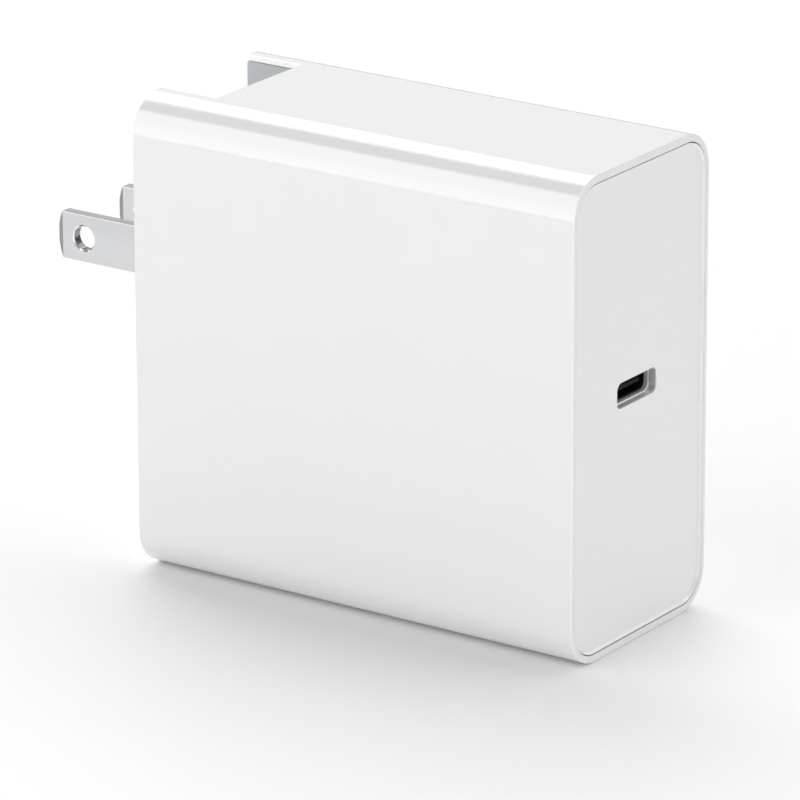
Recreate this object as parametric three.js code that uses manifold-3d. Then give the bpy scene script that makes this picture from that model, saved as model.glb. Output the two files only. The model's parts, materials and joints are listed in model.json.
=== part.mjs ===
// A wall-plug USB-C power adapter with folding blades, in millimetres, +Z up.
// The origin is the centre of the sleeve's bottom face. -X is the plug end, +X is the socket end,
// and Y runs through the thickness.
import * as THREE from 'three';
import { mergeVertices } from 'three/addons/utils/BufferGeometryUtils.js';
import Module from 'manifold-3d';

const wasm = await Module();
wasm.setup();

// Sleeve
const LENGTH = 65;
const THICKNESS = 30.2;
const HEIGHT = 61.8;
const CORNER = 5.2;
const WALL = 1.8;
const END_EDGE = 0.4;
const RIM_SIDE = 0.7;
const RIM_TOP = 1.0;

// End panels
const PORT_RECESS = 0.5;
const PLUG_RECESS = 0.1;
const PANEL_THICK = 1.6;
const SKIRT_THICK = 1.2;
const SKIRT_DEPTH = 3;
const LIP_WIDTH = 0.2;
const LIP_SHY = 0.05;
const SEAM = 0.15;
const GAP = 0.3;
const FIT = 0.04;

// Folding plug: two flat blades on the standard spacing
const BLADE_WIDTH = 6.2;
const BLADE_THICK = 1.5;
const BLADE_ROOT_THICK = 1.3;
const BLADE_SPACING = 12.7;
const BLADE_REACH = 18.2;
const BLADE_TIP_RUN = 0.9;
const BLADE_TIP_DROP = 0.45;
const BLADE_TIP_FLAT = 1;
const BLADE_HOLE_RADIUS = 1.59;
const BLADE_HOLE_FROM_TIP = 4.2;
const BLADE_HEIGHT = 39.2;
const PIVOT_DEPTH = 4.3;
const PIN_RADIUS = 1.2;
const CARRIER_HALF = 3.9;

// Blade bay
const BAY_DEPTH = 8.4;
const BAY_HALF_WIDTH = 9.05;
const BAY_WALL = 1.3;
const BAY_CORNER = 0.5;
const BAY_FLOOR_THICK = 2.3;
const NOTCH_LIP = 0.75;
const LAND_HALF_WIDTH = 3.2;
const LAND_BOTTOM = 46;
const LAND_TOP = 54;

// USB-C socket: a metal shell with a wide mouth and a narrower throat, and a black insert in it
// that has the standard opening and the tongue
const PORT_HEIGHT = 32.2;
const MOUTH_WIDTH = 8.8;
const MOUTH_TALL = 3.25;
const MOUTH_CORNER = 0.9;
const MOUTH_WALL = 0.15;
const MOUTH_DEPTH = 1.25;
const MOUTH_SEAM = 0.08;
const SHELL_WIDTH = 8.6;
const SHELL_TALL = 3.0;
const SHELL_CORNER = 1.1;
const SHELL_WALL = 0.2;
const SHELL_LENGTH = 7.3;
const THROAT_DEPTH = 0.5;
const OPENING_WIDTH = 8.34;
const OPENING_TALL = 2.56;
const INSERT_BASE = 1.4;
const TONGUE_WIDTH = 6.7;
const TONGUE_THICK = 0.7;
const TONGUE_RECESS = 0.6;

// Circuit boards
const BOARD_THICK = 1.6;
const BOARD_FRONT = 9.4;
const PORT_BOARD_THICK = 1.0;
const STANDOFF = 0.3;
const LEG = 0.8;

const plugX = -LENGTH / 2;
const portX = LENGTH / 2;
const pivotX = plugX + PIVOT_DEPTH;
const bladeY = BLADE_SPACING / 2;
const boardBack = BOARD_FRONT + BOARD_THICK;
const panelBack = PORT_RECESS + PANEL_THICK;
const plugPanelBack = PLUG_RECESS + PANEL_THICK;
const insideTop = HEIGHT - WALL;
const insideSide = THICKNESS / 2 - WALL;
const portBoardTop = PORT_HEIGHT - SHELL_TALL / 2 - SHELL_WALL - GAP;

const AXIS_X = new THREE.Vector3(1, 0, 0);
const AXIS_Y = new THREE.Vector3(0, 1, 0);
const AXIS_Z = new THREE.Vector3(0, 0, 1);

const adapter = new THREE.Group();

// ---------- shapes and solids ----------

// A rectangle with round corners, given by its centre and size.
function roundedRectangle(centreX, centreY, width, tall, radius) {
  const shape = new THREE.Shape();
  const right = centreX + width / 2 - radius;
  const left = centreX - width / 2 + radius;
  const top = centreY + tall / 2 - radius;
  const bottom = centreY - tall / 2 + radius;
  shape.absarc(right, top, radius, 0, Math.PI / 2);
  shape.absarc(left, top, radius, Math.PI / 2, Math.PI);
  shape.absarc(left, bottom, radius, Math.PI, 1.5 * Math.PI);
  shape.absarc(right, bottom, radius, 1.5 * Math.PI, 2 * Math.PI);
  shape.closePath();
  return shape;
}

function circle(centreX, centreY, radius) {
  const shape = new THREE.Shape();
  shape.absarc(centreX, centreY, radius, 0, 2 * Math.PI);
  return shape;
}

function polygon(points) {
  return new THREE.Shape(points.map(([x, y]) => new THREE.Vector2(x, y)));
}

function rectangle(x0, x1, y0, y1) {
  return polygon([[x0, y0], [x1, y0], [x1, y1], [x0, y1]]);
}

// A prism from low to high along one axis. Its outline is drawn in the other two axes: (Y, Z) for
// x, (X, Z) for y and (X, Y) for z. A bevel rounds both end edges inside the outline.
function prism(shape, axis, low, high, { bevel = 0, segments = 6 } = {}) {
  const geometry = new THREE.ExtrudeGeometry(shape, {
    depth: high - low - 2 * bevel,
    curveSegments: segments,
    bevelEnabled: bevel > 0,
    bevelThickness: bevel,
    bevelSize: bevel,
    bevelOffset: -bevel,
    bevelSegments: 2,
  });
  geometry.translate(0, 0, bevel);
  const turn = new THREE.Matrix4();
  if (axis === 'x') {
    turn.makeBasis(AXIS_Y, AXIS_Z, AXIS_X).setPosition(low, 0, 0);
  } else if (axis === 'y') {
    turn.makeBasis(AXIS_X, AXIS_Z, AXIS_Y.clone().negate()).setPosition(0, high, 0);
  } else {
    turn.setPosition(0, 0, low);
  }
  return geometry.applyMatrix4(turn);
}

// A box given by its lowest and highest corners.
function box(low, high) {
  return prism(rectangle(low[0], high[0], low[1], high[1]), 'z', low[2], high[2]);
}

// A round solid about Z, from a profile of [radius, height] points that starts and ends on the axis.
function turned(profile, segments = 20) {
  const points = profile.map(([radius, height]) => new THREE.Vector2(radius, height));
  return new THREE.LatheGeometry(points, segments).rotateX(Math.PI / 2);
}

// A ring about Z with a rectangular section.
function ring(inner, outer, low, high, segments = 24) {
  return turned([[inner, low], [outer, low], [outer, high], [inner, high], [inner, low]], segments);
}

function toSolid(geometry) {
  const bare = geometry.clone();
  bare.deleteAttribute('normal');
  bare.deleteAttribute('uv');
  const merged = mergeVertices(bare, 1e-4);
  return new wasm.Manifold(new wasm.Mesh({
    numProp: 3,
    vertProperties: merged.attributes.position.array,
    triVerts: new Uint32Array(merged.index.array),
  }));
}

function toGeometry(solid) {
  const mesh = solid.getMesh();
  const geometry = new THREE.BufferGeometry();
  geometry.setAttribute('position', new THREE.BufferAttribute(mesh.vertProperties, 3));
  geometry.setIndex(new THREE.BufferAttribute(mesh.triVerts, 1));
  geometry.computeVertexNormals();
  return geometry;
}

function join(...geometries) {
  return toGeometry(geometries.map(toSolid).reduce((whole, next) => whole.add(next)));
}

function cut(geometry, ...cutters) {
  return toGeometry(cutters.map(toSolid).reduce((left, next) => left.subtract(next), toSolid(geometry)));
}

function common(first, second) {
  return toGeometry(toSolid(first).intersect(toSolid(second)));
}

function finish(color, roughness, metalness = 0) {
  return new THREE.MeshStandardMaterial({ color, roughness, metalness });
}

function piece(parent, name, geometry, material) {
  const mesh = new THREE.Mesh(geometry, material);
  mesh.name = name;
  parent.add(mesh);
  return mesh;
}

// ---------- housing ----------

// The outline of the body's section, drawn smaller all round and rounded to match.
function section(side, top) {
  const radius = CORNER - (side + top) / 2;
  return roundedRectangle(0, HEIGHT / 2, THICKNESS - 2 * side, HEIGHT - 2 * top, radius);
}

function bayOutline() {
  const depth = 2 * BAY_DEPTH;
  return roundedRectangle(plugX, 0, depth, 2 * BAY_HALF_WIDTH, BAY_CORNER);
}

function makeSleeve() {
  const plugSeatDepth = plugPanelBack + GAP;
  const portSeatDepth = panelBack + GAP;
  const outer = prism(section(0, 0), 'x', plugX, portX, { bevel: END_EDGE, segments: 8 });
  const cavity = prism(section(WALL, WALL), 'x', plugX - 1, portX + 1, { segments: 8 });
  const rim = section(RIM_SIDE, RIM_TOP);
  const plugSeat = prism(rim, 'x', plugX - 1, plugX + plugSeatDepth, { segments: 8 });
  const portSeat = prism(rim, 'x', portX - portSeatDepth, portX + 1, { segments: 8 });
  const notch = prism(bayOutline(), 'z', insideTop - 2, HEIGHT + 1, { segments: 3 });
  const pocketHalf = BAY_HALF_WIDTH + BAY_WALL + GAP;
  const pocket = box(
    [plugX - 1, -pocketHalf, insideTop - 1],
    [plugX + BAY_DEPTH + BAY_WALL + GAP, pocketHalf, HEIGHT - NOTCH_LIP],
  );
  const shell = cut(outer, cavity, plugSeat, portSeat, pocket, notch);
  piece(adapter, 'outer_sleeve', shell, finish(0xf4f4f5, 0.12));
}

// The socket's mouth, larger by grow all round.
function mouthOutline(grow) {
  const width = MOUTH_WIDTH + 2 * grow;
  return roundedRectangle(0, PORT_HEIGHT, width, MOUTH_TALL + 2 * grow, MOUTH_CORNER + grow);
}

// A panel plate with a skirt behind it, facing +X, its outer face at x = 0.
function makeEndPlate() {
  const plate = prism(section(RIM_SIDE + SEAM, RIM_TOP + SEAM), 'x', -PANEL_THICK, 0, { segments: 6 });
  const skirtBack = -PANEL_THICK - SKIRT_DEPTH;
  const skirt = cut(
    prism(section(WALL + SEAM, WALL + SEAM), 'x', skirtBack, -PANEL_THICK / 2, { segments: 6 }),
    prism(section(WALL + SEAM + SKIRT_THICK, WALL + SEAM + SKIRT_THICK), 'x',
      skirtBack - 1, 0, { segments: 6 }),
  );
  return join(plate, skirt);
}

// The socket end's panel is a shallow tray: its thin lip stands level with the sleeve's rim.
function makePortPanel() {
  const face = makeEndPlate().translate(portX - PORT_RECESS, 0, 0);
  const side = RIM_SIDE + SEAM;
  const top = RIM_TOP + SEAM;
  const lip = cut(
    prism(section(side, top), 'x', portX - PORT_RECESS - PANEL_THICK / 2, portX - LIP_SHY),
    prism(section(side + LIP_WIDTH, top + LIP_WIDTH), 'x', portX - 5, portX + 1),
  );
  const aperture = prism(mouthOutline(MOUTH_WALL + MOUTH_SEAM), 'x', portX - 5, portX + 1);
  piece(adapter, 'port_panel', cut(join(face, lip), aperture), finish(0xe6e6e7, 0.55));
}

// The plug end's panel carries the bay that the blades fold into. A land between the two blade
// slots stops short of the top, which leaves the notch open for a fingertip.
function makePlugPanel() {
  const floor = BLADE_HEIGHT - CARRIER_HALF - GAP;
  const outside = BAY_HALF_WIDTH + BAY_WALL;
  const face = makeEndPlate().rotateZ(Math.PI).translate(plugX + PLUG_RECESS, 0, 0);
  const bayBlock = box(
    [plugX + PLUG_RECESS + 0.05, -outside, floor - BAY_FLOOR_THICK],
    [plugX + BAY_DEPTH + BAY_WALL, outside, HEIGHT - NOTCH_LIP - SEAM],
  );
  const bay = prism(bayOutline(), 'z', floor, HEIGHT + 1, { segments: 3 });
  const land = prism(polygon([
    [plugX + 1.6, LAND_BOTTOM],
    [plugX + BAY_DEPTH + 1, LAND_BOTTOM],
    [plugX + BAY_DEPTH + 1, LAND_TOP],
    [plugX + 4.5, LAND_TOP],
    [plugX + 1.6, LAND_TOP - 3],
  ]), 'y', -LAND_HALF_WIDTH, LAND_HALF_WIDTH);
  const springSeat = box(
    [plugX + 1.6, -3.4, floor - 1.2],
    [plugX + BAY_DEPTH - 0.6, 3.4, floor + 1],
  );
  const bearing = prism(circle(pivotX, BLADE_HEIGHT, PIN_RADIUS + 0.1), 'y', -outside - 1, outside + 1);
  const hollow = cut(join(face, bayBlock), bay);
  const shell = cut(join(hollow, land), springSeat, bearing);
  piece(adapter, 'plug_panel', shell, finish(0xe6e6e7, 0.55));
}

// ---------- folding plug ----------

// One blade's outline in X and Z, with a rounded tip and a round root about the pivot. It is
// larger by grow all round, to cut its seat in the carrier.
function bladeOutline(grow) {
  const half = BLADE_WIDTH / 2 + grow;
  const tip = plugX - BLADE_REACH - grow;
  const shoulder = tip + BLADE_TIP_RUN;
  const bendX = tip + 0.3 * BLADE_TIP_RUN;
  const bend = BLADE_TIP_FLAT + 0.58 * (half - BLADE_TIP_FLAT);
  const high = BLADE_HEIGHT + half;
  const low = BLADE_HEIGHT - half;
  const shape = new THREE.Shape();
  shape.moveTo(shoulder, high);
  shape.quadraticCurveTo(bendX, BLADE_HEIGHT + bend, tip, BLADE_HEIGHT + BLADE_TIP_FLAT);
  shape.lineTo(tip, BLADE_HEIGHT - BLADE_TIP_FLAT);
  shape.quadraticCurveTo(bendX, BLADE_HEIGHT - bend, shoulder, low);
  shape.absarc(pivotX, BLADE_HEIGHT, half, -Math.PI / 2, Math.PI / 2);
  shape.closePath();
  return shape;
}

// A blade with its round hole and its pin hole. Seen from above, it is bevelled at the tip, and
// its root inside the carrier is a little thinner.
function makeBlade(name, side) {
  const middle = side * bladeY;
  const tip = plugX - BLADE_REACH;
  const neck = plugX - 0.5;
  const half = BLADE_THICK / 2;
  const root = BLADE_ROOT_THICK / 2;
  const outline = bladeOutline(0);
  const holeX = tip + BLADE_HOLE_FROM_TIP;
  outline.holes.push(circle(holeX, BLADE_HEIGHT, BLADE_HOLE_RADIUS));
  outline.holes.push(circle(pivotX, BLADE_HEIGHT, PIN_RADIUS + SEAM));
  const oneSide = [
    [tip, half - BLADE_TIP_DROP],
    [tip + BLADE_TIP_RUN, half],
    [neck, half],
    [neck + 0.1, root],
    [portX, root],
  ];
  const otherSide = oneSide.map(([x, y]) => [x, -y]).reverse();
  const plan = polygon([...otherSide, ...oneSide].map(([x, y]) => [x, middle + y]));
  const taper = prism(plan, 'z', 0, HEIGHT);
  const blade = common(prism(outline, 'y', middle - half, middle + half), taper);
  piece(adapter, name, blade, finish(0xd2d4d7, 0.25, 1));
}

// The bar that holds both blades. Its outer half is square, to sit flush with the panel when the
// blades are out, and its inner half is round, so that it clears the bay as it turns.
function makeCarrier() {
  const reach = BAY_HALF_WIDTH - GAP;
  const half = CARRIER_HALF;
  const outline = new THREE.Shape();
  outline.absarc(pivotX, BLADE_HEIGHT, half, -Math.PI / 2, Math.PI / 2);
  outline.lineTo(pivotX - half + 0.5, BLADE_HEIGHT + half);
  outline.lineTo(pivotX - half, BLADE_HEIGHT + half - 0.5);
  outline.lineTo(pivotX - half, BLADE_HEIGHT - half + 0.5);
  outline.lineTo(pivotX - half + 0.5, BLADE_HEIGHT - half);
  outline.closePath();
  const seats = [-1, 1].map((side) => {
    const middle = side * bladeY;
    const room = BLADE_THICK / 2 + SEAM;
    return prism(bladeOutline(SEAM), 'y', middle - room, middle + room);
  });
  const pinHoles = [-1, 1].map((side) => {
    const ends = [side * 3.2, side * (reach + 1)].sort((a, b) => a - b);
    return prism(circle(pivotX, BLADE_HEIGHT, PIN_RADIUS + SEAM), 'y', ends[0], ends[1]);
  });
  const bar = prism(outline, 'y', -reach, reach);
  piece(adapter, 'blade_carrier', cut(bar, ...seats, ...pinHoles), finish(0xe6e6e7, 0.5));
}

// A brass stub pin through the blade's root. Its outer end turns in the bay wall.
function makePin(name, side) {
  const inner = 3.5;
  const length = BAY_HALF_WIDTH + BAY_WALL + 0.7 - inner;
  const dome = 0.4;
  const pin = turned([
    [0, 0],
    [PIN_RADIUS, 0],
    [PIN_RADIUS, length - dome],
    [PIN_RADIUS - dome, length],
    [0, length],
  ], 24);
  const mesh = piece(adapter, name, pin, finish(0xc9a227, 0.3, 1));
  mesh.rotation.x = side > 0 ? -Math.PI / 2 : Math.PI / 2;
  mesh.position.set(pivotX, side * inner, BLADE_HEIGHT);
}

// A thin strip of constant thickness that follows a bent line.
function strip(points, thick) {
  const along = points.map(([x, y]) => new THREE.Vector2(x, y));
  const normals = along.map((point, index) => {
    const before = along[Math.max(index - 1, 0)];
    const after = along[Math.min(index + 1, along.length - 1)];
    const run = after.clone().sub(before).normalize();
    return new THREE.Vector2(-run.y, run.x).multiplyScalar(thick / 2);
  });
  const left = along.map((point, index) => point.clone().add(normals[index]));
  const right = along.map((point, index) => point.clone().sub(normals[index]));
  return new THREE.Shape([...left, ...right.reverse()]);
}

function makeDetentSpring() {
  const seat = BLADE_HEIGHT - CARRIER_HALF - GAP - 0.9;
  const crown = 0.55;
  const start = plugX + 2;
  const run = BAY_DEPTH - 3;
  const points = Array.from({ length: 9 }, (_, index) => {
    const part = index / 8;
    return [start + run * part, seat + crown * Math.sin(Math.PI * part)];
  });
  const leaf = prism(strip(points, 0.25), 'y', -2.9, 2.9);
  piece(adapter, 'detent_spring', leaf, finish(0xb8babd, 0.3, 1));
}

// A leaf that presses on a pin's end and runs down beside the board.
function makeContactSpring(name, side, bottom) {
  const flat = BAY_HALF_WIDTH + BAY_WALL + 1.05;
  const line = [
    [side * (flat + 0.3), BLADE_HEIGHT + 4],
    [side * flat, BLADE_HEIGHT + 2],
    [side * flat, BLADE_HEIGHT - 2],
    [side * (flat + 0.2), BLADE_HEIGHT - 4],
    [side * (flat + 0.1), bottom],
  ];
  const leaf = prism(strip(line, 0.35), 'x', pivotX - 1.7, pivotX + 1.7);
  piece(adapter, name, leaf, finish(0xb87333, 0.35, 1));
}

function makeLeadWire() {
  const radius = 0.7;
  const start = -(BAY_HALF_WIDTH + BAY_WALL + 0.1);
  const route = new THREE.CatmullRomCurve3([
    new THREE.Vector3(pivotX, start, BLADE_HEIGHT - 11.5),
    new THREE.Vector3(pivotX, start + 0.6, BLADE_HEIGHT - 9.2),
    new THREE.Vector3(pivotX, start + 3.5, BLADE_HEIGHT - 8),
    new THREE.Vector3(pivotX, 0, BLADE_HEIGHT - 7.8),
    new THREE.Vector3(pivotX, 5, BLADE_HEIGHT - 8.2),
    new THREE.Vector3(pivotX, BOARD_FRONT - 2.5, BLADE_HEIGHT - 9.6),
    new THREE.Vector3(pivotX, BOARD_FRONT - STANDOFF, BLADE_HEIGHT - 10.2),
  ]);
  const wire = new THREE.ExtrudeGeometry(circle(0, 0, radius), {
    steps: 24,
    curveSegments: 4,
    extrudePath: route,
  });
  piece(adapter, 'lead_wire', wire, finish(0x222222, 0.5));
}

// ---------- USB-C socket ----------

// The shell's inner outline, larger by grow all round.
function shellOutline(grow) {
  const width = SHELL_WIDTH + 2 * grow;
  return roundedRectangle(0, PORT_HEIGHT, width, SHELL_TALL + 2 * grow, SHELL_CORNER + grow);
}

function makeSocket() {
  const front = portX - PORT_RECESS - 0.05;
  const step = front - MOUTH_DEPTH;
  const back = front - SHELL_LENGTH;
  const detail = { segments: 4 };
  const body = join(
    prism(mouthOutline(MOUTH_WALL), 'x', step - SHELL_WALL, front, detail),
    prism(shellOutline(SHELL_WALL), 'x', back, step, detail),
  );
  const hollow = prism(shellOutline(0), 'x', back - 1, front, detail);
  const mouth = prism(mouthOutline(0), 'x', step, front + 1, detail);
  piece(adapter, 'usb_c_shell', cut(body, hollow, mouth), finish(0xa9abae, 0.35, 1));

  const block = prism(shellOutline(-FIT), 'x', back, step - THROAT_DEPTH, detail);
  const opening = roundedRectangle(0, PORT_HEIGHT, OPENING_WIDTH, OPENING_TALL, OPENING_TALL / 2 - 0.3);
  const cavity = prism(opening, 'x', back + INSERT_BASE, step + 1, detail);
  const tongue = box(
    [back + INSERT_BASE / 2, -TONGUE_WIDTH / 2, PORT_HEIGHT - TONGUE_THICK / 2],
    [step - TONGUE_RECESS, TONGUE_WIDTH / 2, PORT_HEIGHT + TONGUE_THICK / 2],
  );
  piece(adapter, 'usb_c_tongue', join(cut(block, cavity), tongue), finish(0x111111, 0.4));
}

// ---------- boards ----------

const mainParts = new THREE.Group();
const portParts = new THREE.Group();
const backParts = new THREE.Group();

// Pieces in mainParts stand on the main board's front: their Z points away from it, to -Y, and
// their Y is the body's height. Pieces in backParts lie on its back: their Z points to +Y.
mainParts.position.y = BOARD_FRONT;
mainParts.rotation.x = Math.PI / 2;
backParts.position.y = boardBack;
backParts.rotation.set(Math.PI / 2, Math.PI, 0);
portParts.position.z = portBoardTop;
adapter.add(mainParts, portParts, backParts);

function makeBoards() {
  const low = WALL + SKIRT_THICK + 0.6;
  const high = insideTop - SKIRT_THICK - 0.6;
  const right = portX - panelBack - GAP;
  const left = plugX + plugPanelBack + GAP;
  const bayClear = plugX + BAY_DEPTH + BAY_WALL + GAP;
  const outline = polygon([
    [left + 2, low],
    [right - 2, low],
    [right, low + 2],
    [right, high - 2],
    [right - 2, high],
    [bayClear, high],
    [bayClear, 31],
    [left, 31],
    [left, low + 2],
  ]);
  const green = finish(0x1f5f3a, 0.45);
  piece(adapter, 'main_board', prism(outline, 'y', BOARD_FRONT, boardBack), green);

  const shelf = box(
    [portX - 17.5, -10.5, portBoardTop - PORT_BOARD_THICK],
    [right, BOARD_FRONT - GAP, portBoardTop],
  );
  piece(adapter, 'port_board', shelf, green);
}

// ---------- parts on the boards ----------

// A rectangular part that stands on legs at the given places.
function legged(width, deep, tall, places) {
  const lift = LEG + STANDOFF;
  const body = prism(roundedRectangle(0, 0, width, deep, 0.4), 'z', lift, lift + tall, { segments: 2 });
  const legs = places.map(([x, y]) => box([x - 0.35, y - 0.35, STANDOFF], [x + 0.35, y + 0.35, lift + 1]));
  return join(body, ...legs);
}

// An electrolytic can with its crimped neck.
function can(radius, tall) {
  const low = STANDOFF;
  return turned([
    [0, low],
    [radius - 0.5, low],
    [radius, low + 0.5],
    [radius, low + 1.5],
    [radius - 0.5, low + 2.1],
    [radius, low + 2.7],
    [radius, low + tall - 0.5],
    [radius - 0.5, low + tall],
    [0, low + tall],
  ]);
}

function place(name, geometry, material, x, y, parent = mainParts) {
  const mesh = piece(parent, name, geometry, material);
  mesh.position.set(x, y, 0);
  return mesh;
}

// Input side: fuse, thermistor, line capacitor and common-mode choke.
function makeInputFilter() {
  place('fuse', legged(4.2, 8.4, 7.5, [[0, -2.5], [0, 2.5]]), finish(0x3b2d26, 0.5), -26.2, 20);
  const disc = turned([[0, -1.8], [3.6, -1.8], [4.1, -1.3], [4.1, 1.3], [3.6, 1.8], [0, 1.8]], 16)
    .rotateY(Math.PI / 2)
    .translate(0, 0, 4.1 + LEG + STANDOFF);
  const discLegs = [-2.5, 2.5].map((y) => box([-0.3, y - 0.3, STANDOFF], [0.3, y + 0.3, 5]));
  place('thermistor', join(disc, ...discLegs), finish(0x2f3a2f, 0.5), -26.2, 9.5);
  place('x_capacitor', legged(7.5, 13, 12, [[0, -5], [0, 5]]), finish(0xd9b530, 0.45), -17, 11.5);

  const low = 1.6;
  const high = 7.6;
  const choke = new THREE.Group();
  choke.position.set(-14, 25.5, 0);
  mainParts.add(choke);
  piece(choke, 'choke_core', ring(3.4, 5.9, low, high, 20), finish(0x2b2b2e, 0.7));
  const copper = finish(0xb4622d, 0.35, 0.8);
  [['choke_winding_a', 0], ['choke_winding_b', Math.PI]].forEach(([name, turn]) => {
    const coat = cut(ring(2.3, 7, low - 1.1, high + 1.1, 20), ring(3.1, 6.2, low - 0.3, high + 0.3, 20));
    const wedge = prism(polygon([[0, 0], [12, 8], [12, 12], [-12, 12], [-12, 8]]), 'z', 0, 12)
      .translate(0, 0.6, 0)
      .rotateZ(turn);
    piece(choke, name, common(coat, wedge), copper);
  });
}

// Rectifier, bulk capacitors and the drum inductor between them.
function makeBulkSupply() {
  const leads = [-5.7, -1.9, 1.9, 5.7].map((y) => [0, y]);
  place('bridge_rectifier', legged(3.4, 14.7, 10.6, leads), finish(0x1b1b1d, 0.5), 8.6, 42);
  const foil = finish(0x2a2f55, 0.35);
  [[-14.3, 40], [-14.3, 52], [-1.2, 52]].forEach(([x, y], index) => {
    place(`bulk_capacitor_${index + 1}`, can(5.6, 19), foil, x, y);
  });
  const drum = turned([
    [0, STANDOFF],
    [4.6, STANDOFF],
    [4.6, 1.5],
    [2, 1.5],
    [2, 8.6],
    [4.6, 8.6],
    [4.6, 9.8],
    [0, 9.8],
  ], 20);
  place('filter_core', drum, finish(0x2b2b2e, 0.7), -1.2, 40);
  place('filter_winding', ring(2.3, 4.3, 1.8, 8.3, 20), finish(0xb4622d, 0.35, 0.8), -1.2, 40);
}

// A transformer with two E-shaped core halves round one bobbin.
function makeTransformer() {
  const tall = 16;
  const halfLong = 9.8;
  const halfDeep = 7.5;
  const plate = 2.6;
  const split = tall / 2 - SEAM;
  const group = new THREE.Group();
  group.position.set(5.2, 17, STANDOFF);
  mainParts.add(group);
  const half = join(
    prism(polygon([
      [-halfLong, 0],
      [halfLong, 0],
      [halfLong, split],
      [halfLong - 2.2, split],
      [halfLong - 2.2, plate],
      [2.2 - halfLong, plate],
      [2.2 - halfLong, split],
      [-halfLong, split],
    ]), 'y', -halfDeep, halfDeep),
    turned([[0, 1], [3.8, 1], [3.8, split], [0, split]]),
  );
  const ferrite = finish(0x333336, 0.75);
  piece(group, 'transformer_core_lower', half, ferrite);
  const upper = piece(group, 'transformer_core_upper', half.clone(), ferrite);
  upper.rotation.x = Math.PI;
  upper.position.z = tall;
  const bobbin = turned([
    [4.1, plate + GAP],
    [7.2, plate + GAP],
    [7.2, plate + 1.1],
    [4.9, plate + 1.1],
    [4.9, tall - plate - 1.1],
    [7.2, tall - plate - 1.1],
    [7.2, tall - plate - GAP],
    [4.1, tall - plate - GAP],
    [4.1, plate + GAP],
  ], 24);
  piece(group, 'transformer_bobbin', bobbin, finish(0x1a1a1a, 0.5));
  const winding = ring(5.2, 7, plate + 1.4, tall - plate - 1.4);
  piece(group, 'transformer_winding', winding, finish(0xd8a820, 0.4));
}

// Chips that lie on the back of the main board.
function makeChips() {
  const black = finish(0x18181a, 0.5);
  const chips = [
    ['gan_switch', 8, 8, 2, 36],
    ['control_chip', 4, 5, -6, 20],
    ['sync_rectifier', 5, 6, 17, 14],
    ['optocoupler', 4.6, 6.4, 4, 10],
  ];
  chips.forEach(([name, width, deep, x, z]) => {
    const chip = prism(roundedRectangle(0, 0, width, deep, 0.2), 'z', 0.15, 1.1, { segments: 1 });
    place(name, chip, black, -x, z, backParts);
  });
}

// Small capacitors: the safety disc, the auxiliary supply, the snubber and the output pair.
function makeSmallCapacitors() {
  const disc = turned([[0, -2], [3.9, -2], [4.4, -1.4], [4.4, 1.4], [3.9, 2], [0, 2]], 16)
    .rotateX(Math.PI / 2)
    .translate(0, 0, 4.4 + LEG + STANDOFF);
  const discLegs = [-2.7, 2.7].map((x) => box([x - 0.3, -0.3, STANDOFF], [x + 0.3, 0.3, 5]));
  place('y_capacitor', join(disc, ...discLegs), finish(0x2f6fb0, 0.4), 18.5, 36);
  place('auxiliary_capacitor', can(3, 11), finish(0x24262b, 0.35), 16, 51);
  const snubberLegs = [[-3, 0], [3, 0]];
  place('snubber_capacitor', legged(8, 5, 7, snubberLegs), finish(0x9c3b2a, 0.5), 24.5, 51);
  [9, 20].forEach((y, index) => {
    place(`output_capacitor_${index + 1}`, can(4, 12), finish(0xb9bcc2, 0.25, 0.9), 22.5, y);
  });
}

function makePortController() {
  const chip = prism(roundedRectangle(0, 0, 5, 5, 0.2), 'z', STANDOFF, STANDOFF + 0.9, { segments: 1 });
  place('pd_controller', chip, finish(0x18181a, 0.5), 19, 1, portParts);
}

// ---------- sheets between the boards and the sleeve ----------

function makeSheets() {
  const left = plugX + 7;
  const right = portX - panelBack - SKIRT_DEPTH - GAP;
  const sheet = (low, high, thick, y) => box([left, y - thick, low], [right, y, high]);
  const aluminium = finish(0xc9cbce, 0.35, 1);
  const front = -insideSide + GAP;
  piece(adapter, 'front_heat_spreader', sheet(5, 57, 0.4, front + 0.4), aluminium);
  piece(adapter, 'insulation_sheet', sheet(4, 58, 0.25, front + 0.95), finish(0xe8e2c8, 0.6));
  const back = insideSide - GAP;
  const backSheet = box([left + 4, back - 0.4, 5], [right, back, 57]);
  piece(adapter, 'back_heat_spreader', backSheet, aluminium);
  const padTop = BOARD_FRONT - STANDOFF - 16 - GAP;
  const pad = box([-4, front + 1.25, 10], [14, padTop, 24]);
  piece(adapter, 'thermal_pad', pad, finish(0x8fa3b5, 0.8));
}

makeSleeve();
makePortPanel();
makePlugPanel();
makeBlade('blade_line', -1);
makeBlade('blade_neutral', 1);
makeCarrier();
makePin('pivot_pin_line', -1);
makePin('pivot_pin_neutral', 1);
makeDetentSpring();
makeContactSpring('contact_spring_line', -1, 29.5);
makeContactSpring('contact_spring_neutral', 1, 26);
makeLeadWire();
makeSocket();
makeBoards();
makeInputFilter();
makeBulkSupply();
makeTransformer();
makeChips();
makeSmallCapacitors();
makePortController();
makeSheets();

export default adapter;
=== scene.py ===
"""Looks for a wall-plug USB-C power adapter with folding blades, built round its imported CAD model.

The frame is in metres, +Z up. -X is the plug end, +X is the socket end, and Y runs through the
thickness. Every visible shell is rebuilt here with fine fillets inside its CAD solid, and the
parts inside keep their CAD solids with softened edges.
"""

import json
import math

import bmesh
import bpy
from mathutils import Matrix, Vector


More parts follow.
